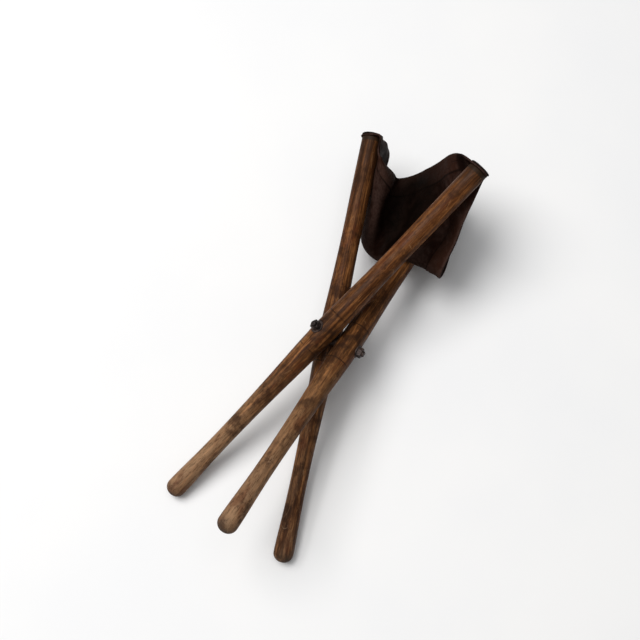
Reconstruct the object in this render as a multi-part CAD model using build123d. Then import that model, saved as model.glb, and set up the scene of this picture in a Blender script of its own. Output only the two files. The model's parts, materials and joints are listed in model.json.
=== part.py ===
from build123d import *
import os
from math import cos, pi, radians, sin

# Three-leg folding field stool, lying partly folded on its side. Millimetres, +Z up.
# Three turned wooden legs cross at a three-way bolt, and a leather triangle is tacked
# to their upper ends.
#
# The parts are laid out in stool axes: +Y from the feet to the seat, X and Z across, and
# the origin at the bolt's centre. The whole stool is then laid down on the ground.

# ---- legs ----------------------------------------------------------------------------
LEG_NAMES = ["a", "b", "c"]
UPPER_LENGTH = 297.0           # from the bolt hole to the seat end of the leg
LOWER_LENGTH = 304.5           # from the bolt hole to the foot
HUB_RADIUS = 16.6              # the thickest place, at the bolt hole
TOP_RADIUS = 14.2
TOP_EASING = 1.5               # rounding of the upper end's rim
FOOT_RADIUS = 13.5
FOOT_ROUNDING = 12.3
# (height above the bolt hole, radius) along the turned outline, from the top to the foot
SWELL = [(225, 14.0), (130, 13.5), (55, 15.3), (0, HUB_RADIUS), (-55, 15.1)]
SWELL += [(-125, 12.6), (-190, 11.5), (-240, 12.1)]
SCORE_HEIGHT = 30.0            # scored line above and below the bolt hole
SCORE_RADIUS = 0.8             # section of the scored line
SCORE_LEG_RADIUS = 16.2        # radius of the leg at the scored line

# ---- how the legs are swung about their studs, from lying parallel --------------------
STUD_BEARING = {"a": -90.0, "b": 150.0, "c": 30.0}    # from +X towards +Z, about the stool's axis
REST_SWING = {"a": 17.5, "b": 21.5, "c": 16.0}
OPEN_SWING = 40.5              # the leather is taut

# ---- three-way bolt, washers and nuts ---------------------------------------------------
LEG_OFFSET = 22.0              # from the bolt's centre to each leg's centre line
STUD_RADIUS = 3.97
STUD_END = 3.2                 # length left standing out of the nut
HOLE_CLEARANCE = 0.06
FACE_GAP = 0.05
BEDDING = 1.8                  # how deep the collar and the washer bed into the round leg
COLLAR_RADIUS = 7.0
CORE_RADIUS = 6.5
CORE_HEIGHT = 12.0
WASHER_RADIUS = 9.2
WASHER_HOLE_RADIUS = 4.4
WASHER_THICKNESS = 1.6
BED_MARGIN = 0.6               # the bed in the wood is this much wider than what sits in it
NUT_ACROSS_FLATS = 12.7
NUT_HEIGHT = 6.2
NUT_BEVEL = 0.9
THREAD_GAP = 0.02

# ---- seat leather and what holds it -----------------------------------------------------------
LEATHER = 2.8
LEATHER_GAP = 0.1              # between the leather and the end of the leg
TAB_RADIUS = 13.4
TAB_WIDTH = 24.0
TAB_REACH = 20.5               # from the leg's centre line to where the leather starts to hang
PATCH_RADIUS = 15.2
PATCH_THICKNESS = 2.0
PATCH_EASING = 0.8
TACK_HEAD_RADIUS = 6.5
TACK_HEAD_HEIGHT = 2.0
TACK_SHANK_RADIUS = 1.9
TACK_HOLE_RADIUS = 2.1
TACK_DEPTH = 26.0              # how far the shank goes into the end of the leg
# Where the folded leather hangs, in stool axes: the middle of the seat, and the middle
# of each of its three sides, named by the two legs that the side joins.
SEAT_MIDDLE = Vector(20, 180, -25)
SIDE_MIDDLE = {"ab": Vector(10, 268, -50), "bc": Vector(80, 146, 24), "ca": Vector(-29, 156, -93)}

STOOL_UP = Vector(0, 1, 0)


# ---- where the legs are -------------------------------------------------------------------
def stud_direction(name):
    bearing = radians(STUD_BEARING[name])
    return Vector(cos(bearing), 0, sin(bearing))


def leg_direction(name):
    """From the foot to the seat end of a leg."""
    swing = radians(REST_SWING[name])
    sideways = STOOL_UP.cross(stud_direction(name))
    return STOOL_UP * cos(swing) + sideways * sin(swing)


def point_on_leg(name, height):
    return stud_direction(name) * LEG_OFFSET + leg_direction(name) * height


def leg_place(name):
    """Leg coordinates: Z up the leg, X out along its stud, origin on its centre line at the hole."""
    plane = Plane(origin=point_on_leg(name, 0), x_dir=stud_direction(name), z_dir=leg_direction(name))
    return plane.location


def stud_place(name):
    """Stud coordinates: Z out along the stud, Y up the leg, origin on the leg's centre line."""
    x_dir = leg_direction(name).cross(stud_direction(name))
    return Plane(origin=point_on_leg(name, 0), x_dir=x_dir, z_dir=stud_direction(name)).location


def end_place(name):
    """End coordinates: Z up the leg from its upper end, X towards the middle of the seat."""
    direction = leg_direction(name)
    tops = [point_on_leg(other, UPPER_LENGTH) for other in LEG_NAMES]
    middle = (tops[0] + tops[1] + tops[2]) * (1 / 3)
    inward = middle - point_on_leg(name, UPPER_LENGTH)
    inward = inward - direction * inward.dot(direction)
    return Plane(origin=point_on_leg(name, UPPER_LENGTH), x_dir=inward, z_dir=direction).location


# ---- how the stool lies on the ground ----------------------------------------------------------
def lowest_on_rim(centre, axis, radius, up):
    """The lowest point of a circle."""
    downhill = (up * -1) + axis * up.dot(axis)
    return centre + downhill.normalized() * radius


def ground_contacts(up):
    """Feet a and b and the seat end of leg c carry the stool."""
    contacts = []
    for name in ["a", "b"]:
        centre = point_on_leg(name, FOOT_ROUNDING - LOWER_LENGTH)
        ring = lowest_on_rim(centre, leg_direction(name), FOOT_RADIUS - FOOT_ROUNDING, up)
        contacts.append(ring - up * FOOT_ROUNDING)
    end_height = UPPER_LENGTH + LEATHER_GAP * 2 + LEATHER + PATCH_THICKNESS - PATCH_EASING
    centre = point_on_leg("c", end_height)
    ring = lowest_on_rim(centre, leg_direction("c"), PATCH_RADIUS - PATCH_EASING, up)
    contacts.append(ring - up * PATCH_EASING)
    return contacts


def ground_normal():
    up = Vector(0, 0, 1)
    for repeat in range(30):
        first, second, third = ground_contacts(up)
        up = (third - first).cross(second - first).normalized()
        if up.Z < 0:
            up = up * -1
    return up


# ---- parts in their own coordinates -------------------------------------------------------------
def turned_leg():
    """Leg along Z: turned outline, bolt hole, beds for collar and washer, scored lines, tack hole."""
    foot_top = -LOWER_LENGTH + FOOT_ROUNDING
    tip = FOOT_RADIUS - FOOT_ROUNDING
    rim = TOP_RADIUS - TOP_EASING
    top_corner = UPPER_LENGTH - TOP_EASING
    side_points = [(TOP_RADIUS, top_corner)] + [(r, z) for z, r in SWELL] + [(FOOT_RADIUS, foot_top)]
    with BuildPart() as leg:
        with BuildSketch(Plane.XZ):
            with BuildLine():
                Line((0, -LOWER_LENGTH), (0, UPPER_LENGTH))
                Line((0, UPPER_LENGTH), (rim, UPPER_LENGTH))
                RadiusArc((rim, UPPER_LENGTH), (TOP_RADIUS, top_corner), TOP_EASING)
                Spline(*side_points, tangents=[(0, -1), (0, -1)])
                RadiusArc((FOOT_RADIUS, foot_top), (tip, -LOWER_LENGTH), FOOT_ROUNDING)
                Line((tip, -LOWER_LENGTH), (0, -LOWER_LENGTH))
            make_face()
        revolve(axis=Axis.Z)
        flat = HUB_RADIUS - BEDDING
        with Locations(Plane.YZ):
            Cylinder(STUD_RADIUS + HOLE_CLEARANCE, HUB_RADIUS * 3, mode=Mode.SUBTRACT)
        with Locations(Plane.YZ.offset(flat)):
            bed = WASHER_RADIUS + BED_MARGIN
            Cylinder(bed, HUB_RADIUS, align=(Align.CENTER, Align.CENTER, Align.MIN), mode=Mode.SUBTRACT)
        with Locations(Plane.YZ.offset(-flat)):
            bed = COLLAR_RADIUS + BED_MARGIN
            Cylinder(bed, HUB_RADIUS, align=(Align.CENTER, Align.CENTER, Align.MAX), mode=Mode.SUBTRACT)
        with Locations((0, 0, SCORE_HEIGHT), (0, 0, -SCORE_HEIGHT)):
            Torus(SCORE_LEG_RADIUS + SCORE_RADIUS / 3, SCORE_RADIUS, mode=Mode.SUBTRACT)
        with Locations((0, 0, UPPER_LENGTH)):
            hole = (Align.CENTER, Align.CENTER, Align.MAX)
            Cylinder(TACK_SHANK_RADIUS, TACK_DEPTH, align=hole, mode=Mode.SUBTRACT)
    return leg.part


def three_way_bolt():
    """Forged core with a collar and a stud towards each leg, in stool axes."""
    collar_length = LEG_OFFSET - HUB_RADIUS + BEDDING - FACE_GAP
    stud_length = LEG_OFFSET + HUB_RADIUS - BEDDING + WASHER_THICKNESS + NUT_HEIGHT + STUD_END
    outward = (Align.CENTER, Align.CENTER, Align.MIN)
    with BuildPart() as bolt:
        with Locations(Plane.XZ):
            Cylinder(CORE_RADIUS, CORE_HEIGHT)
        for name in LEG_NAMES:
            with Locations(Plane(origin=(0, 0, 0), z_dir=stud_direction(name))):
                Cylinder(COLLAR_RADIUS, collar_length, align=outward)
                Cylinder(STUD_RADIUS, stud_length, align=outward)
        stud_ends = bolt.edges().filter_by(GeomType.CIRCLE).group_by(lambda e: e.radius)[0]
        chamfer([e for e in stud_ends if e.arc_center.length > stud_length - 1], 0.7)
    return bolt.part


def washer():
    """Washer along Z, its lower face at zero."""
    with BuildPart() as ring:
        Cylinder(WASHER_RADIUS, WASHER_THICKNESS, align=(Align.CENTER, Align.CENTER, Align.MIN))
        fillet(ring.edges().filter_by(GeomType.CIRCLE).group_by(Axis.Z)[-1], 0.5)
        Cylinder(WASHER_HOLE_RADIUS, WASHER_THICKNESS * 3, mode=Mode.SUBTRACT)
    return ring.part


def hex_nut():
    """Nut along Z with bevelled corners, its lower face at zero."""
    corner_radius = NUT_ACROSS_FLATS / 2 / cos(pi / 6)
    with BuildPart() as nut:
        with BuildSketch():
            RegularPolygon(corner_radius, 6)
        extrude(amount=NUT_HEIGHT)
        blank_radius = corner_radius + 0.05
        with BuildPart(mode=Mode.INTERSECT):
            Cylinder(blank_radius, NUT_HEIGHT, align=(Align.CENTER, Align.CENTER, Align.MIN))
            blank = faces().filter_by(GeomType.PLANE).edges()
            chamfer(blank, NUT_BEVEL / 2, NUT_BEVEL)
        Cylinder(STUD_RADIUS + THREAD_GAP, NUT_HEIGHT * 3, mode=Mode.SUBTRACT)
    return nut.part


def corner_patch():
    """Second layer of leather on the end of a leg, in end coordinates."""
    with BuildPart() as patch:
        Cylinder(PATCH_RADIUS, PATCH_THICKNESS, align=(Align.CENTER, Align.CENTER, Align.MIN))
        fillet(patch.edges(), PATCH_EASING)
        Cylinder(TACK_HOLE_RADIUS, PATCH_THICKNESS * 3, mode=Mode.SUBTRACT)
    lift = LEATHER + LEATHER_GAP * 2
    return patch.part.moved(Location((0, 0, lift)))


def domed_tack():
    """Tack through both layers into the end of the leg, in end coordinates."""
    head = LEATHER + LEATHER_GAP * 2 + PATCH_THICKNESS + FACE_GAP
    dome_radius = (TACK_HEAD_RADIUS ** 2 + TACK_HEAD_HEIGHT ** 2) / (2 * TACK_HEAD_HEIGHT)
    shank = TACK_SHANK_RADIUS - THREAD_GAP
    with BuildPart() as tack:
        with BuildSketch(Plane.XZ):
            with BuildLine():
                Line((0, -TACK_DEPTH + 1), (0, head + TACK_HEAD_HEIGHT))
                RadiusArc((0, head + TACK_HEAD_HEIGHT), (TACK_HEAD_RADIUS, head), dome_radius)
                Line((TACK_HEAD_RADIUS, head), (shank, head))
                Line((shank, head), (shank, -TACK_DEPTH + 6))
                Line((shank, -TACK_DEPTH + 6), (0, -TACK_DEPTH + 1))
            make_face()
        revolve(axis=Axis.Z)
    return tack.part


# ---- seat leather ---------------------------------------------------------------------------------
def leather_plate(corners):
    """A flat triangle of leather, half its thickness to each side of its corners."""
    outline = Wire.make_polygon(corners, close=True)
    face = Face(outline)
    normal = face.normal_at()
    return Solid.extrude(face.moved(Location(normal * (-LEATHER / 2))), normal * LEATHER)


def leather_rim(start, end):
    """Rounds the bend between two plates."""
    along = end - start
    plane = Plane(origin=start, z_dir=along)
    return Solid.make_cylinder(LEATHER / 2, along.length, plane)


def leather_tab(name):
    """The corner of the seat that lies on the end of a leg."""
    with BuildPart() as tab:
        sheet = (Align.MIN, Align.CENTER, Align.MIN)
        Cylinder(TAB_RADIUS, LEATHER, align=(Align.CENTER, Align.CENTER, Align.MIN))
        Box(TAB_REACH, TAB_WIDTH, LEATHER, align=sheet)
        Cylinder(TACK_HOLE_RADIUS, LEATHER * 3, mode=Mode.SUBTRACT)
    return tab.part.moved(Location((0, 0, LEATHER_GAP))).moved(end_place(name))


def seat_leather():
    """The folded seat in stool axes: six flat fields round its middle, and three corner tabs."""
    hang = {}
    for name in LEG_NAMES:
        reach = Location((TAB_REACH, 0, LEATHER_GAP + LEATHER / 2))
        hang[name] = (end_place(name) * reach).position
    pieces = [leather_tab(name) for name in LEG_NAMES]
    for side, side_middle in SIDE_MIDDLE.items():
        for corner in side:
            pieces.append(leather_plate([hang[corner], side_middle, SEAT_MIDDLE]))
            pieces.append(leather_rim(hang[corner], SEAT_MIDDLE))
        pieces.append(leather_rim(side_middle, SEAT_MIDDLE))
    joint = LEATHER / 2
    balls = [hang[name] for name in LEG_NAMES] + [SEAT_MIDDLE]
    for place in balls:
        pieces.append(Solid.make_sphere(joint, Plane(origin=place)))
    seat = pieces[0]
    for piece in pieces[1:]:
        seat = seat + piece
    return seat


# ---- put the stool together in stool axes -------------------------------------------------------------
def stool_parts():
    parts = {"three_way_bolt": three_way_bolt(), "seat_leather": seat_leather()}
    flat = HUB_RADIUS - BEDDING + FACE_GAP
    for name in LEG_NAMES:
        parts["leg_" + name] = turned_leg().moved(leg_place(name))
        parts["washer_" + name] = washer().moved(stud_place(name) * Location((0, 0, flat)))
        nut_height = flat + WASHER_THICKNESS
        parts["nut_" + name] = hex_nut().moved(stud_place(name) * Location((0, 0, nut_height)))
        parts["corner_patch_" + name] = corner_patch().moved(end_place(name))
        parts["tack_" + name] = domed_tack().moved(end_place(name))
    return parts


def ground_place(parts):
    """Lays the stool down: Z up from the ground, Y along the stool, origin under its middle."""
    up = ground_normal()
    along = (STOOL_UP - up * STOOL_UP.dot(up)).normalized()
    across = along.cross(up)
    x_dir = Vector(across.X, along.X, up.X)
    z_dir = Vector(across.Z, along.Z, up.Z)
    turn = Plane(origin=(0, 0, 0), x_dir=x_dir, z_dir=z_dir).location
    box = Compound([part.moved(turn) for part in parts.values()]).bounding_box(optimal=True)
    shift = Location((-box.center().X, -box.center().Y, -box.min.Z))
    return shift * turn


parts = stool_parts()
ground = ground_place(parts)
os.makedirs("parts", exist_ok=True)
for node, part in parts.items():
    export_step(part.moved(ground), f"parts/{node}.step")

for name in LEG_NAMES:
    hinge = Plane(ground * stud_place(name))
    axis = hinge.z_dir * -1
    closed = -REST_SWING[name]
    opened = OPEN_SWING - REST_SWING[name]
    print("hinge", name, hinge.origin, axis, closed, opened)
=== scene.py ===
import json
import math

import bpy
import numpy as np
from mathutils import Matrix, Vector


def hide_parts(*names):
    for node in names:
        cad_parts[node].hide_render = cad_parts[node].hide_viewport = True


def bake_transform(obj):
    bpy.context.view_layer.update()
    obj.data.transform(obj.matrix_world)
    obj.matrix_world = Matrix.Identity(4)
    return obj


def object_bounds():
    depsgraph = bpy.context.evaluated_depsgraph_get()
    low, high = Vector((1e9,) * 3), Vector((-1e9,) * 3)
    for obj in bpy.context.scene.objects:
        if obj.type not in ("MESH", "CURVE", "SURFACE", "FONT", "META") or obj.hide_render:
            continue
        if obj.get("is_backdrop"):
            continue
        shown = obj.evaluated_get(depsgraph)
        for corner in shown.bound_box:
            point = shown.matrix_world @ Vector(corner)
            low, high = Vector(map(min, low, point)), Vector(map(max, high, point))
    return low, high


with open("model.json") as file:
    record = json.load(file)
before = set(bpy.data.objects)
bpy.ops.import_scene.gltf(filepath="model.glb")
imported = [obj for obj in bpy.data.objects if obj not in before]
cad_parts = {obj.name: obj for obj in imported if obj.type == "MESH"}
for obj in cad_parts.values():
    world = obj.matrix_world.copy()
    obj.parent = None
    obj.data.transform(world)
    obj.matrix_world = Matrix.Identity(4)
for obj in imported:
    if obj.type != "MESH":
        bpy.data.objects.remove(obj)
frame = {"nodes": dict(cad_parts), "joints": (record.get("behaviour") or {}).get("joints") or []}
cad_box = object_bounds()
LEGS = ("a", "b", "c")
MM = 0.001

# ------------------------------------------------------------------ where the stool is
# Everything about the leather is worked out in millimetres, in the frame of the part.

UPPER_LENGTH = 297.0           # from a leg's bolt hole to its upper end


def unit(v):
    return v / np.linalg.norm(v)


def node_points(name):
    """The vertices of a node, in millimetres."""
    mesh = frame["nodes"][name].data
    co = np.empty(len(mesh.vertices) * 3, np.float32)
    mesh.vertices.foreach_get("co", co)
    return co.reshape(-1, 3).astype(float) / MM


hinge = {j["name"][4]: np.array(j["pos_m"], float) / MM for j in frame["joints"]}
leg_up = {}
for k in LEGS:
    patch = node_points(f"corner_patch_{k}")
    leg_up[k] = unit((patch.min(axis=0) + patch.max(axis=0)) / 2 - hinge[k])
origin = sum(hinge.values()) / 3
up = unit(np.cross(hinge["b"] - hinge["a"], hinge["c"] - hinge["a"]))
if up @ leg_up["a"] < 0:
    up = -up
outwards = unit(origin - hinge["a"])
AXES = np.stack([np.cross(up, outwards), up, outwards], axis=1)


def from_stool(p):
    """Stool axes (across, towards the seat, outwards) to the frame of the part."""
    return origin + np.asarray(p, float) @ AXES.T


# ------------------------------------------------------------------ the cut leather
# A triangle with slightly hollowed sides, laid flat in millimetres. It is held at the
# corners a, b and c, and the cut edge runs MARGIN outside the lines between them.

SIDE = 348.0                   # from one corner to the next
MARGIN = 14.0
HOLLOW = 8.0                   # how far each cut edge is hollowed in its middle
CORNER_RADIUS = 15.8           # rounding of the leather about each tack
LEATHER = 2.8                  # thickness
HEM = 27.0                     # width of the doubled edge
STEPS = 34                     # lattice steps along a side
CORNER = {
    "a": np.array([0.0, 0.0]),
    "b": np.array([SIDE, 0.0]),
    "c": np.array([SIDE / 2, SIDE * math.sqrt(3) / 2]),
}
CENTRE = sum(CORNER.values()) / 3
INWARD = {k: unit(CENTRE - CORNER[k]) for k in LEGS}
ACROSS = {k: np.array([-INWARD[k][1], INWARD[k][0]]) for k in LEGS}


def from_tacks(flat):
    """How far each flat place is from the nearest tack."""
    return np.min([np.linalg.norm(flat - p, axis=1) for p in CORNER.values()], axis=0)


def flat_leather(n):
    """The triangle as a lattice: flat places, triangles, and the vertex at each lattice step."""
    outer = [p + unit(p - CENTRE) * 2 * MARGIN for p in CORNER.values()]
    number = {}
    share = []
    for i in range(n + 1):
        for j in range(n + 1 - i):
            number[i, j] = len(share)
            share.append((n - i - j, i, j))
    share = np.array(share, float) / n
    flat = share @ np.array(outer)
    for far, (p, q) in enumerate((("b", "c"), ("c", "a"), ("a", "b"))):
        along = (flat - CORNER[p]) @ (CORNER[q] - CORNER[p]) / SIDE**2
        inward = unit(CENTRE - (CORNER[p] + CORNER[q]) / 2)
        near = np.clip(1 - share[:, far] * 3, 0, 1)
        flat = flat + np.outer(HOLLOW * near * np.sin(np.pi * np.clip(along, 0, 1)), inward)
    sixth = math.radians(60)
    for p in CORNER.values():
        v = flat - p
        d = np.linalg.norm(v, axis=1) + 1e-9
        angle = np.arccos(np.clip(v @ unit(p - CENTRE) / d, -1, 1))
        reach = MARGIN / np.cos(np.clip(sixth - angle, 0, sixth))
        pull = np.where(angle < sixth, np.minimum(1, CORNER_RADIUS / reach), 1)
        flat = np.where((d < 2 * MARGIN + 2)[:, None], p + v * pull[:, None], flat)
    triangles = []
    for i in range(n):
        for j in range(n - i):
            triangles.append((number[i, j], number[i + 1, j], number[i, j + 1]))
            if i + j < n - 1:
                triangles.append((number[i + 1, j], number[i + 1, j + 1], number[i, j + 1]))
    return flat, np.array(triangles), number


def pairs(number, step):
    """Pairs of lattice points that many steps apart, in groups where no point comes twice."""
    groups = []
    for di, dj in ((1, 0), (0, 1), (1, -1)):
        for phase in (0, 1):
            group = []
            for (i, j), v in number.items():
                row = j if (di, dj) == (0, 1) else i
                other = number.get((i + di * step, j + dj * step))
                if other is not None and (row // step) % 2 == phase:
                    group.append((v, other))
            if group:
                groups.append(np.array(group))
    return groups


# ------------------------------------------------------------------ folding it
# The legs swing from open to where they lie while the leather hangs from their ends.
# Then the stool lies down and the leather falls and settles.

OPEN_SWING = 40.5              # of each leg from the stool's axis, in degrees
BEARING = {"a": -90.0, "b": 150.0, "c": 30.0}     # of each stud about the stool's axis
STIFF_CORNER = 25.0            # the leather lies flat this far in from each tack
LEAN = {"a": 0.35, "b": 0.0, "c": 0.0}            # how much further on one side than the other
LEATHER_GAP = 0.1              # between the leather and the end of the leg
SAG = 12                       # of the middle of the seat before it is folded
SAG_REACH = 180

# (height above the bolt hole, radius) of a leg, from the foot to the upper end
LEG_OUTLINE = (
    (-304, 13.5), (-240, 12.1), (-190, 11.5), (-125, 12.6), (-55, 15.1),
    (0, 16.6), (55, 15.3), (130, 13.5), (225, 14), (297, 14.2),
)
LEG_CLEARANCE = 1.6            # from the wood to the middle of the leather

# What draws the leather to where it lies: flat place, place in stool axes, how strongly.
# The places in stool axes were worked out by another script and copied here.
PULLS = [
    # along the side between a and b
    ((47, -12), (-81, 259, 7), 2),
    ((63, -12), (-67, 250, -1), 1.5),
    ((81, -10), (-52, 252, -13), 1),
    ((100, -9), (-42, 256, -25), 1),
    ((138, -8), (-24, 269, -54), 1),
    ((169, -7), (-10, 284, -60), 1),
    ((197, -8), (-1, 290, -39), 1),
    ((229, -9), (4, 293, -4), 1),
    ((268, -11), (6, 298, 37), 1),
    # along the side between b and c
    ((268, 158), (79, 141, 36), 2),
    ((306, 92), (63, 202, 70), 1),
    ((330, 50), (54, 243, 92), 1),
    # along the ridge of the fold
    ((74, 36), (-47, 212, -6), 0.5),
    ((94, 62), (-28, 179, -14), 0.5),
    ((117, 90), (-12, 151, -28), 0.5),
    # where it turns in under leg a
    ((42, 18), (-78, 255, -13), 2),
    ((54, 37), (-69, 231, -25), 1.5),
    ((61, 60), (-58, 213, -37), 1),
    ((72, 79), (-49, 190, -51), 1),
    ((95, 107), (-33, 160, -62), 0.8),
    # about the tacks, the lowest edge and the hidden side between c and a
    ((7, 36), (-63, 285, -16), 1),
    ((300, -12), (10, 304, 59), 1),
    ((288, 124), (72, 173, 51), 1),
    ((20, 68), (-51, 274, -43), 0.8),
    ((206, 146), (44, 146, -8), 1),
    ((231, 155), (65, 146, 8), 1),
    ((179, 136), (29, 145, -17), 0.6),
    ((48, 108), (-28, 229, -68), 0.8),
    ((78, 152), (-2, 173, -84), 1),
]
LOWEST = 138.0                 # the fold hangs no nearer the feet than this, in stool axes
GROUND = 2.4                   # height of the leather's middle where it lies on the ground
GROUND_RISE = 80.0             # how far the ground comes up while the stool lies down

SWING_TURNS = 220
SETTLE_TURNS = 420
LAST_TURNS = 90                # with the pulled points pinned
DAMPING = 0.92
FASTEST = 6.0                  # most that a place may coast in one turn
HANGING = 0.10                 # drop in one turn while the stool stands
FALLING = 0.06                 # drop in one turn while it lies

# Lattice steps apart, how close those may come, how hard that is kept, and how hard the
# leather resists bending over them
BENDS = ((5, 0.55, 0.5, 0.042), (3, 0.72, 0.6, 0.105), (2, 0.85, 0.6, 0.35))
PART_EVERY = 5                 # turns between pushing layers apart
WATCH_EVERY = 40               # turns between looking for layers that are near
LAYERS_APART = 5.4             # two layers of the fold come no closer than this
LAYERS_NEAR = 24.0             # layers closer than this are watched
SAME_PLACE = 18.0              # closer on the flat leather, so not two layers

REACH = 34.0                   # how far the leather about a pulled point goes along with it
SMOOTHING = 12
CREASED_EDGE = (268.0, 158.0)  # flat place on the b-c side that is folded to a point


def leg_at(k, swing):
    """Direction of a leg that is swung so many degrees from the stool's axis."""
    bearing = math.radians(BEARING[k])
    out = from_stool((math.cos(bearing), 0, math.sin(bearing))) - origin
    side = np.cross(up, out)
    turn = math.copysign(math.radians(swing), side @ leg_up[k])
    return up * math.cos(turn) + side * math.sin(turn)


def ease(t):
    """From 0 to 1 with a slow start and a slow end."""
    return t * t * (3 - 2 * t)


class Fold:
    """The leather while it is folded: x holds its places, and the loose ones may move."""

    def __init__(self):
        self.flat, self.triangles, number = flat_leather(STEPS)
        self.swing = {k: math.degrees(math.acos(min(1.0, leg_up[k] @ up))) for k in LEGS}
        self.held = {}
        self.loose = np.ones(len(self.flat), bool)
        for k in LEGS:
            limit = INWARD[k] - LEAN[k] * ACROSS[k]
            self.held[k] = np.where((self.flat - CORNER[k]) @ limit < STIFF_CORNER)[0]
            self.loose[self.held[k]] = False
        self.mobility = self.loose.astype(float)
        self.links = {}
        for steps in (1, 2, 3, 5):
            self.links[steps] = [(g, self.flat_length(g)) for g in pairs(number, steps)]
        apart = np.linalg.norm(self.flat[:, None] - self.flat[None], axis=2)
        self.far_pairs = np.argwhere(np.triu(apart > SAME_PLACE, 1))
        self.close = self.far_pairs[:0]
        self.pulls = []
        for place, target, strength in PULLS:
            nearest = int(np.argmin(np.linalg.norm(self.flat - np.array(place), axis=1)))
            if self.loose[nearest]:
                self.pulls.append((nearest, from_stool(target), strength))
        self.x = self.opened()
        self.before = self.x.copy()
        self.directions = {}

    def flat_length(self, group):
        return np.linalg.norm(self.flat[group[:, 0]] - self.flat[group[:, 1]], axis=1)

    def opened(self):
        """The leather spread between the legs of the open stool, sagging a little."""
        ends = np.array([hinge[k] + leg_at(k, OPEN_SWING) * UPPER_LENGTH for k in LEGS])
        solve = np.linalg.inv(np.vstack([np.array(list(CORNER.values())).T, np.ones(3)]))
        share = (solve @ np.vstack([self.flat.T, np.ones(len(self.flat))])).T
        sag = np.clip(1 - np.linalg.norm(self.flat - CENTRE, axis=1) / SAG_REACH, 0, 1) * SAG
        return share @ ends - np.outer(sag, up)

    def follow_legs(self, turn):
        """Swings the legs, and puts the held leather flat on their ends."""
        f = ease(min(1.0, turn / SWING_TURNS))
        self.directions = {k: leg_at(k, OPEN_SWING + (self.swing[k] - OPEN_SWING) * f) for k in LEGS}
        tops = {k: hinge[k] + self.directions[k] * UPPER_LENGTH for k in LEGS}
        middle = sum(tops.values()) / 3
        for k in LEGS:
            d = self.directions[k]
            inward = middle - tops[k]
            inward = unit(inward - d * (inward @ d))
            v = self.flat[self.held[k]] - CORNER[k]
            end = tops[k] + d * (LEATHER_GAP + LEATHER / 2)
            end = end + np.outer(v @ INWARD[k], inward)
            self.x[self.held[k]] = end + np.outer(v @ ACROSS[k], np.cross(d, inward))

    def carry_on(self, moves):
        """Each loose place goes on as it was going, a little slower."""
        step = (self.x - self.before) * DAMPING
        speed = np.linalg.norm(step, axis=1)
        step *= np.minimum(1, FASTEST / (speed + 1e-9))[:, None]
        self.before = self.x.copy()
        if moves:
            self.x[self.loose] += step[self.loose]

    def drop_and_pull(self, lying):
        """Drops the leather a little and draws the pulled points towards their places."""
        self.x[self.loose] -= up * (HANGING * (1 - lying))
        self.x[self.loose, 2] -= FALLING * lying
        for v, target, strength in self.pulls:
            self.x[v] += (target - self.x[v]) * min(0.9, strength * 0.8) * lying * self.loose[v]

    def keep_apart(self, group, length, stiffness, shortest_only=False):
        """Moves the two places of each pair towards being that length apart."""
        p, q = group[:, 0], group[:, 1]
        d = self.x[q] - self.x[p]
        n = np.sqrt((d * d).sum(axis=1)) + 1e-12
        error = n - length
        if shortest_only:
            error = np.minimum(error, 0)
        both = self.mobility[p] + self.mobility[q]
        move = (stiffness * error / n / np.where(both == 0, 1, both))[:, None] * d
        self.x[p] += move * self.mobility[p][:, None]
        self.x[q] -= move * self.mobility[q][:, None]

    def keep_lengths(self):
        """The leather hardly stretches, and resists being bent sharply."""
        for _ in range(2):
            for steps, shortest, gentle, bend in BENDS:
                for group, length in self.links[steps]:
                    self.keep_apart(group, length * shortest, gentle, True)
                    self.keep_apart(group, length, bend)
            for group, length in self.links[1]:
                self.keep_apart(group, length, 1.0)

    def part_layers(self, turn):
        """Pushes layers of the fold off each other."""
        if turn % WATCH_EVERY == 0:
            gap = self.x[self.far_pairs[:, 0]] - self.x[self.far_pairs[:, 1]]
            self.close = self.far_pairs[(gap * gap).sum(axis=1) < LAYERS_NEAR**2]
        p, q = self.close[:, 0], self.close[:, 1]
        d = self.x[q] - self.x[p]
        n = np.sqrt((d * d).sum(axis=1))
        hit = n < LAYERS_APART
        if hit.any():
            p, q, d, n = p[hit], q[hit], d[hit], n[hit]
            move = ((LAYERS_APART - n) / (n + 1e-9) * 0.4)[:, None] * d
            np.add.at(self.x, p, -move * self.mobility[p][:, None])
            np.add.at(self.x, q, move * self.mobility[q][:, None])

    def clear_legs(self):
        """Moves leather that is inside a leg straight out of it."""
        for k in LEGS:
            v = self.x - hinge[k]
            along = v @ self.directions[k]
            out = v - np.outer(along, self.directions[k])
            n = np.linalg.norm(out, axis=1) + 1e-9
            radius = np.interp(along, *zip(*LEG_OUTLINE)) + LEG_CLEARANCE
            hit = (along < UPPER_LENGTH - 4) & (n < radius) & self.loose
            self.x[hit] += out[hit] * ((radius[hit] - n[hit]) / n[hit])[:, None]

    def clear_ground(self, lying):
        """Keeps the fold from sliding towards the feet and out of the ground."""
        low = LOWEST - (self.x - origin) @ up
        hit = (low > 0) & self.loose
        self.x[hit] += np.outer(low[hit] * 0.5, up)
        if lying > 0.2:
            ground = GROUND - (1 - lying) * GROUND_RISE
            self.x[(self.x[:, 2] < ground) & self.loose, 2] = ground

    def pin_pulled(self):
        """Puts the pulled points where they belong and holds them there."""
        self.x = spread_leftover(self.x, self.flat, self.pulls)
        self.before = self.x.copy()
        pinned = [v for v, target, strength in self.pulls]
        self.mobility[pinned] = 0
        self.loose[pinned] = False

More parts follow.
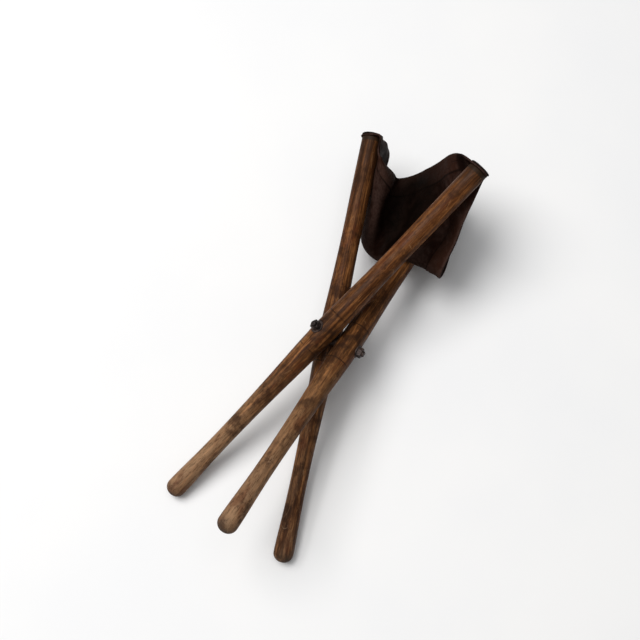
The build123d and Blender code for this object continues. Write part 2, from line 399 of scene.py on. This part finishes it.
    def run(self):
        """Folds the leather and gives the places of its vertices."""
        settled = SWING_TURNS + SETTLE_TURNS
        for turn in range(settled + LAST_TURNS):
            if turn == settled:
                self.pin_pulled()
            lying = min(1.0, max(0.0, (turn - SWING_TURNS * 0.4) / (SWING_TURNS * 0.8)))
            self.follow_legs(turn)
            self.carry_on(turn < settled)
            self.drop_and_pull(lying)
            self.keep_lengths()
            if turn % PART_EVERY == 0:
                self.part_layers(turn)
            self.clear_legs()
            self.clear_ground(lying)
        return smooth_out(self.x, self.flat, self.triangles)


def spread_leftover(x, flat, pulls):
    """Moves the pulled points the rest of the way, and the leather around each with it."""
    pulled = np.array([v for v, target, strength in pulls])
    left = np.array([target - x[v] for v, target, strength in pulls])

    def share(p, q):
        return np.exp(-((p[:, None] - q[None]) ** 2).sum(axis=2) / (2 * REACH**2))

    weights = np.linalg.solve(share(flat[pulled], flat[pulled]) + np.eye(len(pulled)) * 0.2, left)
    free = ease(np.clip((from_tacks(flat) - 22) / 30, 0, 1))
    return x + share(flat, flat[pulled]) @ weights * free[:, None]


def smooth_out(x, flat, triangles):
    """Takes out the small dents left by the pulls; the rim is smoothed along itself.

    Every second step goes back out, so that the leather doesn't shrink.
    """
    rim = np.array(cut_edge(triangles))
    inside = np.ones(len(x), bool)
    inside[rim.ravel()] = False
    sides = np.vstack([triangles[:, (0, 1)], triangles[:, (1, 2)], triangles[:, (2, 0)]])
    sides = sides[inside[sides].any(axis=1)]
    ends = np.vstack([sides, sides[:, ::-1]])
    ends = np.vstack([ends[inside[ends[:, 0]]], rim, rim[:, ::-1]])
    creased = np.linalg.norm(flat - CREASED_EDGE, axis=1)
    free = (np.clip((from_tacks(flat) - 26) / 20, 0, 1) * np.clip((creased - 6) / 30, 0.08, 1))[:, None]
    for turn in range(SMOOTHING * 2):
        total = np.zeros_like(x)
        count = np.zeros(len(x))
        np.add.at(total, ends[:, 0], x[ends[:, 1]])
        np.add.at(count, ends[:, 0], 1)
        x = x + (total / count[:, None] - x) * free * (0.6 if turn % 2 == 0 else -0.52)
    return x


def refine(x, flat, triangles):
    """One round of Loop subdivision; the flat places are only halved."""
    edge = {}
    for a, b, c in triangles:
        for p, q, r in ((a, b, c), (b, c, a), (c, a, b)):
            edge.setdefault((min(p, q), max(p, q)), []).append(r)
    keys = np.array(list(edge))
    number = {tuple(e): len(x) + i for i, e in enumerate(keys.tolist())}
    opposite = [edge[tuple(e)] for e in keys.tolist()]
    inner = np.array([len(o) == 2 for o in opposite])
    o2 = np.array([o if len(o) == 2 else (o[0], o[0]) for o in opposite])
    halves = (x[keys[:, 0]] + x[keys[:, 1]]) / 2
    new = np.where(inner[:, None], halves * 0.75 + (x[o2[:, 0]] + x[o2[:, 1]]) / 8, halves)
    total = np.zeros_like(x)
    count = np.zeros(len(x))
    rim_total = np.zeros_like(x)
    rim_count = np.zeros(len(x))
    for a, b in ((0, 1), (1, 0)):
        np.add.at(total, keys[:, a], x[keys[:, b]])
        np.add.at(count, keys[:, a], 1)
        np.add.at(rim_total, keys[~inner, a], x[keys[~inner, b]])
        np.add.at(rim_count, keys[~inner, a], 1)
    rim = rim_count > 0
    kept = x * 0.625 + total / count[:, None] * 0.375
    kept[rim] = x[rim] * 0.75 + rim_total[rim] / rim_count[rim, None] * 0.25
    flat2 = np.vstack([flat, (flat[keys[:, 0]] + flat[keys[:, 1]]) / 2])
    smaller = []
    for a, b, c in triangles.tolist():
        ab, bc, ca = (number[min(p, q), max(p, q)] for p, q in ((a, b), (b, c), (c, a)))
        smaller += [(a, ab, ca), (ab, b, bc), (ca, bc, c), (ab, bc, ca)]
    return np.vstack([kept, new]), flat2, np.array(smaller)


def vertex_normals(x, triangles):
    """Unit normals, each face weighing by its area."""
    face = np.cross(x[triangles[:, 1]] - x[triangles[:, 0]], x[triangles[:, 2]] - x[triangles[:, 0]])
    n = np.zeros_like(x)
    for corner in range(3):
        np.add.at(n, triangles[:, corner], face)
    return n / (np.linalg.norm(n, axis=1)[:, None] + 1e-12)


def cut_edge(triangles):
    """The directed edges of the rim."""
    seen = {}
    for a, b, c in triangles.tolist():
        for p, q in ((a, b), (b, c), (c, a)):
            seen[p, q] = seen.get((p, q), 0) + 1
    return [e for e in seen if (e[1], e[0]) not in seen]


def waves(places, lengths, amplitude, count, seed):
    """A smooth uneven field over flat places."""
    draw = np.random.default_rng(seed)
    total = np.zeros(len(places))
    for _ in range(count):
        length = draw.uniform(*lengths)
        angle = draw.uniform(0, math.tau)
        phase = draw.uniform(0, math.tau)
        k = math.tau / length * np.array([math.cos(angle), math.sin(angle)])
        total += np.sin(places @ k + phase) * length
    return total * amplitude / (np.abs(total).max() + 1e-9)


# ------------------------------------------------------------------ node materials


class Material:
    """A small helper for building one node material."""

    def __init__(self, name):
        self.data = bpy.data.materials.new(name)
        self.data.use_nodes = True
        self.tree = self.data.node_tree
        self.shader = self.tree.nodes["Principled BSDF"]

    def node(self, kind, inputs=None, **settings):
        made = self.tree.nodes.new("ShaderNode" + kind)
        for key, value in settings.items():
            setattr(made, key, value)
        for key, value in (inputs or {}).items():
            self.put(made.inputs[key], value)
        return made

    def put(self, socket, value):
        if isinstance(value, bpy.types.NodeSocket):
            self.tree.links.new(value, socket)
        elif isinstance(value, bpy.types.Node):
            self.tree.links.new(value.outputs[0], socket)
        else:
            socket.default_value = value

    def object_place(self):
        return self.node("TexCoord").outputs["Object"]

    def math(self, operation, a, b=0.0, clamp=False):
        return self.node("Math", {0: a, 1: b}, operation=operation, use_clamp=clamp).outputs[0]

    def times(self, a, b):
        return self.math("MULTIPLY", a, b)

    def vector(self, operation, a, b):
        return self.node("VectorMath", {0: a, 1: b}, operation=operation).outputs[0]

    def noise(self, vector, scale, detail=4.0, roughness=0.55, distortion=0.0):
        inputs = {
            "Vector": vector,
            "Scale": scale,
            "Detail": detail,
            "Roughness": roughness,
            "Distortion": distortion,
        }
        return self.node("TexNoise", inputs).outputs[0]

    def voronoi(self, vector, scale, feature):
        """Distance from the middle of each cell, or from its edge."""
        inputs = {"Vector": vector, "Scale": scale, "Randomness": 1.0}
        return self.node("TexVoronoi", inputs, feature=feature).outputs["Distance"]

    def ramp(self, value, stops):
        made = self.node("ValToRGB", {0: value})
        ramp = made.color_ramp
        while len(ramp.elements) < len(stops):
            ramp.elements.new(0.5)
        for element, (at, colour) in zip(ramp.elements, stops):
            element.position = at
            element.color = (*colour, 1)
        return made.outputs[0]

    def steps(self, value, low, high, to_low=0.0, to_high=1.0):
        inputs = {0: value, 1: low, 2: high, 3: to_low, 4: to_high}
        return self.node("MapRange", inputs, interpolation_type="SMOOTHSTEP").outputs[0]

    def mix(self, share, a, b, blend="MIX"):
        made = self.node("Mix", data_type="RGBA", blend_type=blend)
        self.put(made.inputs[0], share)
        for socket, value in ((made.inputs[6], a), (made.inputs[7], b)):
            if isinstance(value, tuple):
                value = (*value, 1)
            self.put(socket, value)
        return made.outputs[2]

    def bump(self, height, distance, strength=1.0, under=None):
        inputs = {"Height": height, "Distance": distance, "Strength": strength}
        if under is not None:
            inputs["Normal"] = under
        return self.node("Bump", inputs).outputs[0]

    def surface(self, **inputs):
        for key, value in inputs.items():
            self.put(self.shader.inputs[key.replace("_", " ")], value)
        return self.data


# Figure of the wood, from its darkest streaks to its lightest
WOOD_FIGURE = [(0.36, (0.030, 0.011, 0.0045)), (0.5, (0.110, 0.045, 0.018)), (0.64, (0.340, 0.160, 0.068))]
RING_WOOD = (0.065, 0.025, 0.011)
DARK_FIBRE = (0.030, 0.012, 0.006)
LIGHT_FLECK = (0.300, 0.150, 0.066)
DARK_FLECK = (0.026, 0.010, 0.004)
BARE_WOOD = (0.330, 0.205, 0.120)
WARM_WOOD = (0.165, 0.066, 0.026)
REDDISH_WOOD = (0.085, 0.022, 0.009)
DARK_PATCH = (0.028, 0.012, 0.007)
SPECK = (0.016, 0.007, 0.004)
HUB_STAIN = (0.022, 0.011, 0.008)
SCORE_DIRT = (0.018, 0.009, 0.006)
FOOT_DIRT = (0.050, 0.034, 0.024)
SMOKED_WOOD = (0.030, 0.015, 0.009)
SCRATCHED_WOOD = (0.34, 0.225, 0.145)
PORE = (0.018, 0.008, 0.005)
LEATHER_STAIN = (0.020, 0.014, 0.011)
VARNISH_TINT = (0.86, 0.70, 0.46)
SCORE_HEIGHT = 0.030           # of the scored lines from the bolt hole, in metres
LEG_SCALE = 0.3                # length of half a leg, in metres


def upright(direction):
    """Rotation that takes the leg's own direction to +Z."""
    z = unit(direction)
    x = unit(np.cross((0.0, 1.0, 0.0) if abs(z[1]) < 0.7 else (1.0, 0.0, 0.0), z))
    return np.stack([x, np.cross(z, x), z])


def wood_material(k, warm, bare, smoked, seed):
    """Old varnished turned wood, its grain along the leg, worn bare towards the foot.

    warm and bare say how strong those tones are, and smoked is the height, as a share of
    the upper half, from which the leg darkens towards the seat.
    """
    m = Material(f"old_turned_wood_{k}")
    turn = upright(leg_up[k])
    mapping = {
        "Vector": m.object_place(),
        "Location": -(turn @ (hinge[k] * MM)),
        "Rotation": tuple(Matrix(turn.tolist()).to_euler()),
    }
    v = m.node("Mapping", mapping).outputs[0]
    z = m.node("SeparateXYZ", {0: v}).outputs[2]
    shifted = m.vector("ADD", v, (seed * 3.1, seed * 1.7, seed * 2.3))

    def drawn_out(share):
        """Places squeezed along the leg, so what is laid on them is drawn out along it."""
        return m.vector("MULTIPLY", shifted, (1.0, 1.0, share))

    grain_place = drawn_out(0.045)
    fibre = m.noise(grain_place, 900, 6, 0.65)
    streak = m.noise(grain_place, 240, 5, 0.6, 0.3)
    fleck = m.noise(drawn_out(0.20), 380, 5, 0.7, 0.6)
    broad = m.noise(drawn_out(0.16), 26, 5, 0.6, 0.4)
    blotch = m.noise(shifted, 34, 5, 0.62)
    speck = m.noise(drawn_out(0.40), 420, 3, 0.6)
    height = m.times(z, 1.0 / LEG_SCALE)
    towards_foot = m.steps(height, 0.1, -1.0)
    waving = {
        "Vector": grain_place,
        "Scale": 52.0,
        "Distortion": 7.0,
        "Detail": 4.0,
        "Detail Scale": 1.3,
        "Detail Roughness": 0.6,
    }
    rings = m.node("TexWave", waving, wave_type="BANDS", bands_direction="X").outputs["Fac"]

    # the wood itself
    base = m.mix(m.times(rings, 0.42), m.ramp(streak, WOOD_FIGURE), RING_WOOD)
    base = m.mix(m.steps(fibre, 0.44, 0.60, 0.0, 0.55), base, DARK_FIBRE)
    base = m.mix(m.steps(fleck, 0.47, 0.34, 0.0, 0.45), base, LIGHT_FLECK)
    worn = m.times(m.steps(broad, 0.36, 0.62), m.math("ADD", m.times(towards_foot, bare), 0.08))
    base = m.mix(worn, base, BARE_WOOD)
    base = m.mix(m.times(m.steps(height, 0.15, 0.75), warm), base, WARM_WOOD)
    reddish = m.times(m.steps(m.noise(drawn_out(0.4), 60, 4, 0.6), 0.52, 0.68), 0.55)
    base = m.mix(reddish, base, REDDISH_WOOD)
    base = m.mix(m.steps(fleck, 0.50, 0.68, 0.0, 0.62), base, DARK_FLECK)
    base = m.mix(m.times(m.steps(blotch, 0.50, 0.66), 0.72), base, DARK_PATCH)
    base = m.mix(m.times(m.steps(speck, 0.58, 0.72), 0.60), base, SPECK)

    # dirt and stain in their places
    from_hub = m.math("ABSOLUTE", z)
    near_hub = m.steps(from_hub, 0.06, 0.006)
    patchy = m.steps(m.noise(shifted, 70, 4), 0.42, 0.62, 0.05, 0.8)
    base = m.mix(m.times(near_hub, patchy), base, HUB_STAIN)
    score = m.steps(m.math("ABSOLUTE", m.math("SUBTRACT", from_hub, SCORE_HEIGHT)), 0.0011, 0.0004)
    base = m.mix(m.times(score, m.steps(broad, 0.4, 0.6, 0.2, 0.85)), base, SCORE_DIRT)
    low_end = m.times(m.steps(height, -0.95, -1.0), m.steps(blotch, 0.35, 0.6, 0.2, 0.8))
    base = m.mix(low_end, base, FOOT_DIRT)
    top_end = m.times(m.steps(height, smoked, 0.97), m.steps(streak, 0.35, 0.6, 0.85, 0.45))
    base = m.mix(top_end, base, SMOKED_WOOD)

    # scratches, pores, the dark ring under the leather, and the varnish over all
    cracks = m.voronoi(drawn_out(0.22), 110.0, "DISTANCE_TO_EDGE")
    scratch = m.times(m.steps(cracks, 0.022, 0.0), m.steps(m.noise(shifted, 60, 2), 0.52, 0.66))
    base = m.mix(m.times(scratch, 0.6), base, SCRATCHED_WOOD)
    pores = m.times(m.steps(m.noise(grain_place, 1500, 2, 0.5), 0.60, 0.70), 0.75)
    base = m.mix(pores, base, PORE)
    under_leather = m.times(m.steps(z, 0.2895, 0.2920), m.steps(blotch, 0.3, 0.6, 0.95, 0.80))
    base = m.mix(under_leather, base, LEATHER_STAIN)
    varnish = m.math("SUBTRACT", 0.95, m.times(towards_foot, 0.75))
    base = m.mix(varnish, base, m.mix(1.0, base, VARNISH_TINT, "MULTIPLY"))

    bump = m.bump(fibre, 0.00016, 0.7)
    bump = m.bump(m.math("SUBTRACT", 1.0, pores), 0.00022, 0.6, bump)
    bump = m.bump(m.math("SUBTRACT", 1.0, scratch), 0.0003, 0.6, bump)
    bump = m.bump(blotch, 0.0007, 0.45, bump)
    rough = m.math("ADD", m.steps(blotch, 0.3, 0.7, 0.36, 0.60), m.times(towards_foot, 0.08))
    return m.surface(Base_Color=base, Roughness=rough, Normal=bump, Specular_IOR_Level=0.07)


RUST = (0.075, 0.033, 0.020)
RUBBED_IRON = (0.15, 0.11, 0.09)
IRON_DIRT = (0.012, 0.009, 0.008)


def iron_material(name, tint, rust, scale, roughness):
    """Blackened iron that has browned, with rust in patches."""
    m = Material(name)
    place = m.object_place()
    patches = m.noise(place, scale, 6, 0.65, 0.3)
    fine = m.noise(place, scale * 9, 5, 0.7)
    pits = m.voronoi(place, scale * 14, "F1")
    colour = m.mix(m.times(m.steps(patches, 0.42, 0.62), rust), tint, RUST)
    colour = m.mix(m.steps(fine, 0.5, 0.72, 0.0, 0.45), colour, RUBBED_IRON)
    colour = m.mix(m.steps(fine, 0.5, 0.3, 0.0, 0.7), colour, IRON_DIRT)
    bump = m.bump(pits, 0.0002, 0.6)
    bump = m.bump(fine, 0.00025, 0.8, bump)
    bump = m.bump(patches, 0.0004, 0.5, bump)
    rough = m.steps(patches, 0.35, 0.65, roughness, roughness + 0.28)
    metal = m.steps(patches, 0.62, 0.4, 0.25, 0.9)
    return m.surface(Base_Color=colour, Roughness=rough, Metallic=metal, Normal=bump)


HEM_HIDE = (0.040, 0.018, 0.0115)
CREASE = (0.012, 0.008, 0.006)
SEAM = (0.004, 0.002, 0.0015)
BLACKENED_AND_SHADED_HIDE = (0.0024, 0.0014, 0.0009)
HIDE_GRAIN = 520.0
# the seat's blackest place: dark with oil, and deepened with painted shade where the hollow lies in the
# shadow of legs b and c
SHADE_AND_STAIN_MIDDLE = (192.0, 58.0)   # flat place where the seat is blackest
SHADE_AND_STAIN_REACH = (60.0, 66.0)


def leather_material(name, tint, worn, is_seat):
    """Old saddle leather. On the seat, a colour attribute says where the leather is worn at its cut edges
    and given a painted sheen on its folds, where it is hemmed and seen from below, and where it is
    blackened by oil and by painted shade in its hollow; its grain follows the flat leather."""
    m = Material(name)
    if is_seat:
        place = m.node("UVMap", uv_map="flat").outputs[0]
        wear_sheen_and_shade = m.node("Attribute", attribute_name="wear_sheen_and_shade")
        rubbed_and_sheen, hem, under = m.node("SeparateColor", {0: wear_sheen_and_shade.outputs["Color"]}).outputs[:3]
    else:
        place = m.object_place()
        rubbed_and_sheen, hem, under = 0.25, 0.0, 0.0
    broad = m.noise(place, 9, 6, 0.6, 0.5)
    middle = m.noise(place, 42, 6, 0.65, 0.6)
    fine = m.noise(place, 320, 5, 0.7)
    cells = m.voronoi(place, HIDE_GRAIN, "SMOOTH_F1")
    wander = m.node("TexNoise", {"Vector": place, "Scale": 14.0}).outputs["Color"]
    crease_place = m.vector("ADD", place, m.vector("MULTIPLY", wander, (0.04, 0.04, 0.04)))
    creases = m.voronoi(crease_place, 38.0, "DISTANCE_TO_EDGE")
    crease = m.times(m.steps(creases, 0.035, 0.0), m.steps(middle, 0.46, 0.62))

    colour = m.mix(m.steps(broad, 0.35, 0.65), tint, tuple(c * 0.45 for c in tint))
    colour = m.mix(m.times(m.steps(middle, 0.5, 0.7), 0.5), colour, worn)
    colour = m.mix(m.times(hem, 0.6), colour, HEM_HIDE)
    underside = (tint[0] * 1.9, tint[1] * 1.35, tint[2] * 1.15)
    colour = m.mix(m.times(under, m.steps(middle, 0.35, 0.65, 0.25, 0.6)), colour, underside)
    # worn cut edges, and a painted sheen on the sharply bent folds, take the worn tone
    colour = m.mix(m.times(rubbed_and_sheen, m.steps(fine, 0.35, 0.6, 0.35, 0.9)), colour, worn)
    colour = m.mix(m.times(crease, 0.6), colour, CREASE)
    colour = m.mix(m.steps(fine, 0.6, 0.78, 0.0, 0.35), colour, tuple(min(1, c * 1.7) for c in worn))
    if is_seat:
        seam = m.steps(m.math("ABSOLUTE", m.math("SUBTRACT", hem, 0.5)), 0.5, 0.2)
        colour = m.mix(m.times(seam, 0.75), colour, SEAM)
        # the hollow is blackened: dark oil together with painted shade
        stained_and_shaded = m.times(wear_sheen_and_shade.outputs["Alpha"], m.steps(middle, 0.3, 0.6, 1.0, 0.85))
        colour = m.mix(stained_and_shaded, colour, BLACKENED_AND_SHADED_HIDE)

    bump = m.bump(cells, 0.00035, 0.55)
    bump = m.bump(fine, 0.00022, 0.5, bump)
    bump = m.bump(m.math("SUBTRACT", 1.0, crease), 0.0008, 0.7, bump)
    bump = m.bump(middle, 0.0014, 0.5, bump)
    rough = m.math("ADD", m.steps(middle, 0.3, 0.7, 0.40, 0.62), m.times(under, 0.12), clamp=True)
    return m.surface(Base_Color=colour, Roughness=rough, Normal=bump, Specular_IOR_Level=0.015)


wood = {
    "a": wood_material("a", warm=0.10, bare=0.25, smoked=0.40, seed=1.0),
    "b": wood_material("b", warm=0.30, bare=0.80, smoked=0.82, seed=2.0),
    "c": wood_material("c", warm=0.10, bare=0.75, smoked=0.82, seed=3.0),
}
bolt_iron = iron_material("blackened_iron", (0.026, 0.020, 0.019), rust=0.55, scale=60.0, roughness=0.42)
tack_iron = iron_material("tack_iron", (0.022, 0.019, 0.018), rust=0.35, scale=90.0, roughness=0.45)
# the seat's worn tone is lifted so that it also paints the sheen on its folds
seat_hide = leather_material("seat_hide", (0.0110, 0.0046, 0.0030), (0.054, 0.031, 0.025), is_seat=True)
patch_hide = leather_material("patch_hide", (0.014, 0.010, 0.008), (0.050, 0.040, 0.034), is_seat=False)


def dress(name, material):
    """Gives a node its material."""
    obj = frame["nodes"][name]
    obj.data.materials.clear()
    obj.data.materials.append(material)


for k in LEGS:
    dress(f"leg_{k}", wood[k])
    dress(f"corner_patch_{k}", patch_hide)
    dress(f"tack_{k}", tack_iron)
    dress(f"washer_{k}", bolt_iron)
    dress(f"nut_{k}", bolt_iron)
dress("three_way_bolt", bolt_iron)

# ------------------------------------------------------------------ the leather's mesh
# fine holds the middle of the leather, and upper and lower its two faces.

LOWEST_MIDDLE = 3.2            # the middle of the leather comes no nearer the ground
HEM_EXTRA = 1.1                # how much thicker the doubled edge is
GROOVE_DEPTH = 0.5             # of the groove along the hem
GROOVE_INSET = 3.5             # from the hem's step
GROOVE_WIDTH = 1.6
EDGE_ROUNDING = 0.9            # how far the cut edge bulges between the two faces

folding = Fold()
fine, fine_flat, fine_triangles = folding.run(), folding.flat, folding.triangles
for _ in range(2):
    fine, fine_flat, fine_triangles = refine(fine, fine_flat, fine_triangles)

rim_edges = cut_edge(fine_triangles)
rim_points = fine_flat[sorted({p for e in rim_edges for p in e})]
edge_distance = np.array([np.sqrt(((rim_points - p) ** 2).sum(axis=1).min()) for p in fine_flat])
normals = vertex_normals(fine, fine_triangles)
free = np.clip((from_tacks(fine_flat) - 24) / 20, 0, 1)
uneven = waves(fine_flat, lengths=(26, 70), amplitude=0.9, count=30, seed=11)
uneven = uneven + waves(fine_flat, lengths=(9, 22), amplitude=0.22, count=40, seed=12)
fine = fine + normals * (free * uneven)[:, None]
fine[:, 2] = np.maximum(fine[:, 2], LOWEST_MIDDLE)
normals = vertex_normals(fine, fine_triangles)

hem = np.clip((HEM - edge_distance) / 2.5 + 0.5, 0, 1) * free
groove = GROOVE_DEPTH * np.exp(-(((edge_distance - HEM + GROOVE_INSET) / GROOVE_WIDTH) ** 2)) * free
upper = fine + normals * (LEATHER / 2)
lower = fine - normals * (LEATHER / 2 + HEM_EXTRA * hem - groove)[:, None]
middles = fine_flat[fine_triangles].mean(axis=1)
nearest_corner = np.array([np.argmin([np.linalg.norm(p - CORNER[k]) for k in LEGS]) for p in middles])
# oil-darkening plus painted shade, strongest in the seat's hollow
stain_and_shade = np.clip(1.8 * np.exp(-(((fine_flat - SHADE_AND_STAIN_MIDDLE) / SHADE_AND_STAIN_REACH) ** 2).sum(axis=1)), 0, 1)

# how sharply the leather is bent at each vertex; worn cut edges and sharp bends are lightened, which on
# the folds is a painted sheen
bend = np.zeros(len(fine))
neighbours = np.zeros(len(fine))
for a, b in ((0, 1), (1, 2), (2, 0)):
    p, q = fine_triangles[:, a], fine_triangles[:, b]
    d = fine[q] - fine[p]
    np.add.at(bend, p, (d * normals[p]).sum(axis=1))
    np.add.at(bend, q, -(d * normals[q]).sum(axis=1))
    np.add.at(neighbours, p, 1)
    np.add.at(neighbours, q, 1)
bend /= neighbours
rub_and_sheen = np.clip(1 - edge_distance / 3.5, 0, 1) * 0.8 + np.clip(np.abs(bend) * 9 - 0.25, 0, 0.6)


def leather_piece(k):
    """The third of the leather nearest one corner: both faces, the cut edge, and the walls
    where it meets the other thirds."""
    used, local = np.unique(fine_triangles[nearest_corner == LEGS.index(k)], return_inverse=True)
    mine = local.reshape(-1, 3)
    n = len(used)
    rim = cut_edge(mine)
    true_rim = set(rim_edges)
    rim_places = list(dict.fromkeys(p for p, q in rim))
    outward = {}
    for p, q in rim:
        along = fine[used[q]] - fine[used[p]]
        for v in (p, q):
            outward[v] = outward.get(v, 0) + unit(np.cross(along, normals[used[v]]))
    on_cut = {v for p, q in rim if (used[p], used[q]) in true_rim for v in (p, q)}
    on_wall = {v for p, q in rim if (used[p], used[q]) not in true_rim for v in (p, q)}

    faces_apart = np.vstack([upper[used], lower[used]])
    edge_points = []
    for v in rim_places:
        bulge = EDGE_ROUNDING if v in on_cut and v not in on_wall else 0.0
        edge_points.append((faces_apart[v] + faces_apart[v + n]) / 2 + unit(outward[v]) * bulge)
    points = np.vstack([faces_apart, edge_points])
    at = {v: 2 * n + i for i, v in enumerate(rim_places)}
    faces = [tuple(t) for t in mine.tolist()]
    faces += [(a + n, c + n, b + n) for a, b, c in mine.tolist()]
    for p, q in rim:
        faces.append((q, p, at[p], at[q]))
        faces.append((at[q], at[p], p + n, q + n))
    mesh = bpy.data.meshes.new(f"seat_leather_{k}")
    mesh.from_pydata((points * MM).tolist(), [], faces)
    mesh.update()

    source = np.concatenate([used, used, [used[v] for v in rim_places]])
    loops = np.empty(len(mesh.loops), np.int32)
    mesh.loops.foreach_get("vertex_index", loops)
    uv = mesh.uv_layers.new(name="flat")
    uv.data.foreach_set("uv", (fine_flat[source[loops]] * MM + 0.05).astype(np.float32).ravel())
    wear_sheen_and_shade = np.zeros((len(points), 4), np.float32)
    # red: worn cut edges, with a painted sheen where the leather bends sharply
    wear_sheen_and_shade[:, 0] = np.clip(rub_and_sheen[source], 0, 1)
    wear_sheen_and_shade[n:, 1] = hem[source[n:]]
    wear_sheen_and_shade[n:, 2] = 1
    # alpha: oil-darkening plus painted shade in the seat's hollow
    wear_sheen_and_shade[:, 3] = stain_and_shade[source]
    layer = mesh.color_attributes.new("wear_sheen_and_shade", "FLOAT_COLOR", "POINT")
    layer.data.foreach_set("color", wear_sheen_and_shade.ravel())
    mesh.polygons.foreach_set("use_smooth", np.ones(len(mesh.polygons), bool))
    point_normals = np.vstack([normals[used], -normals[used], [unit(outward[v]) for v in rim_places]])
    mesh.normals_split_custom_set(point_normals[loops].tolist())
    mesh.materials.append(seat_hide)
    obj = bpy.data.objects.new(f"seat_leather_{k}", mesh)
    bpy.context.scene.collection.objects.link(obj)
    return obj


pieces = {k: leather_piece(k) for k in LEGS}

# ------------------------------------------------------------------ the leather's pieces in place
# Each third is fixed where it lies, and the part's own leather is hidden.

for k in LEGS:
    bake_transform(pieces[k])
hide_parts("seat_leather")

for k in LEGS:
    mine = fine_triangles[nearest_corner == LEGS.index(k)]
    p, q, r = (fine_flat[mine[:, i]] for i in range(3))

# ------------------------------------------------------------------ floor

FLOOR_SIZE = 14.0
PAPER_TONES = (0.83, 0.835, 0.845), (0.86, 0.86, 0.86)

bpy.ops.mesh.primitive_grid_add(
    x_subdivisions=8, y_subdivisions=8, size=FLOOR_SIZE, location=(0, 0, -0.0006)
)
floor = bpy.context.object
floor.name = "floor"
paper = Material("floor_paper")
paper_noise = paper.noise(paper.object_place(), 3.0, 3)
paper_colour = paper.mix(paper.steps(paper_noise, 0.3, 0.7), *PAPER_TONES)
floor.data.materials.append(paper.surface(Base_Color=paper_colour, Roughness=0.75))
floor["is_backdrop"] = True

# ------------------------------------------------------------------ camera and light

# The camera was fitted by another script. SENSOR_WIDTH and LENS are in millimetres.
TARGET = np.array([-21.9, 21.5, 60.0]) * MM
AZIMUTH = math.radians(29.58)
ELEVATION = math.radians(72.25)
ROLL = math.radians(-0.81)
DISTANCE = 1.417
SENSOR_WIDTH = 36.0
LENS = 57.4875

away = np.array([
    math.sin(AZIMUTH) * math.cos(ELEVATION),
    -math.cos(AZIMUTH) * math.cos(ELEVATION),
    math.sin(ELEVATION),
])
level = unit(np.cross(-away, (0, 0, 1)))
steep = np.cross(level, -away)
right = math.cos(ROLL) * level + math.sin(ROLL) * steep
top = math.cos(ROLL) * steep - math.sin(ROLL) * level


def stand(obj, place, x_axis, y_axis):
    """Puts a camera or light in place, looking against the axis square to the two given."""
    z_axis = np.cross(x_axis, y_axis)
    rows = [[x_axis[i], y_axis[i], z_axis[i], place[i]] for i in range(3)]
    obj.matrix_world = Matrix(rows + [[0, 0, 0, 1]])


camera = bpy.data.objects.new("camera", bpy.data.cameras.new("camera"))
bpy.context.scene.collection.objects.link(camera)
camera.data.sensor_width = SENSOR_WIDTH
camera.data.lens = LENS
stand(camera, TARGET + away * DISTANCE, right, top)
bpy.context.scene.camera = camera


def soft_light(name, sideways, upwards, height, size, energy, colour):
    """A round area light, placed in the picture's own directions and above the target."""
    data = bpy.data.lights.new(name, "AREA")
    data.shape = "DISK"
    data.size = size
    data.energy = energy
    data.color = colour
    obj = bpy.data.objects.new(name, data)
    bpy.context.scene.collection.objects.link(obj)
    place = TARGET + right * sideways + top * upwards + np.array([0, 0, height])
    z_axis = unit(place - TARGET)
    x_axis = unit(np.cross((0.1, 1, 0), z_axis))
    stand(obj, place, x_axis, np.cross(z_axis, x_axis))


soft_light("key", -1.9, 0.76, 3.8, size=3.0, energy=160.0, colour=(1.0, 0.985, 0.965))
soft_light("top", -0.7, 0.4, 5.0, size=5.6, energy=112.0, colour=(0.98, 0.99, 1.0))
world = bpy.data.worlds.new("studio")
bpy.context.scene.world = world
world.use_nodes = True
background = world.node_tree.nodes["Background"]
background.inputs["Color"].default_value = (1.0, 1.0, 1.0, 1)
background.inputs["Strength"].default_value = 0.20
bpy.context.scene.view_settings.view_transform = "Standard"

# ------------------------------------------------------------------ sizes and the end


def plain(box):
    """The bounds as plain lists."""
    return json.loads(json.dumps(box, default=lambda v: list(v)))


{"cad": plain(cad_box), "visual": plain(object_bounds())}
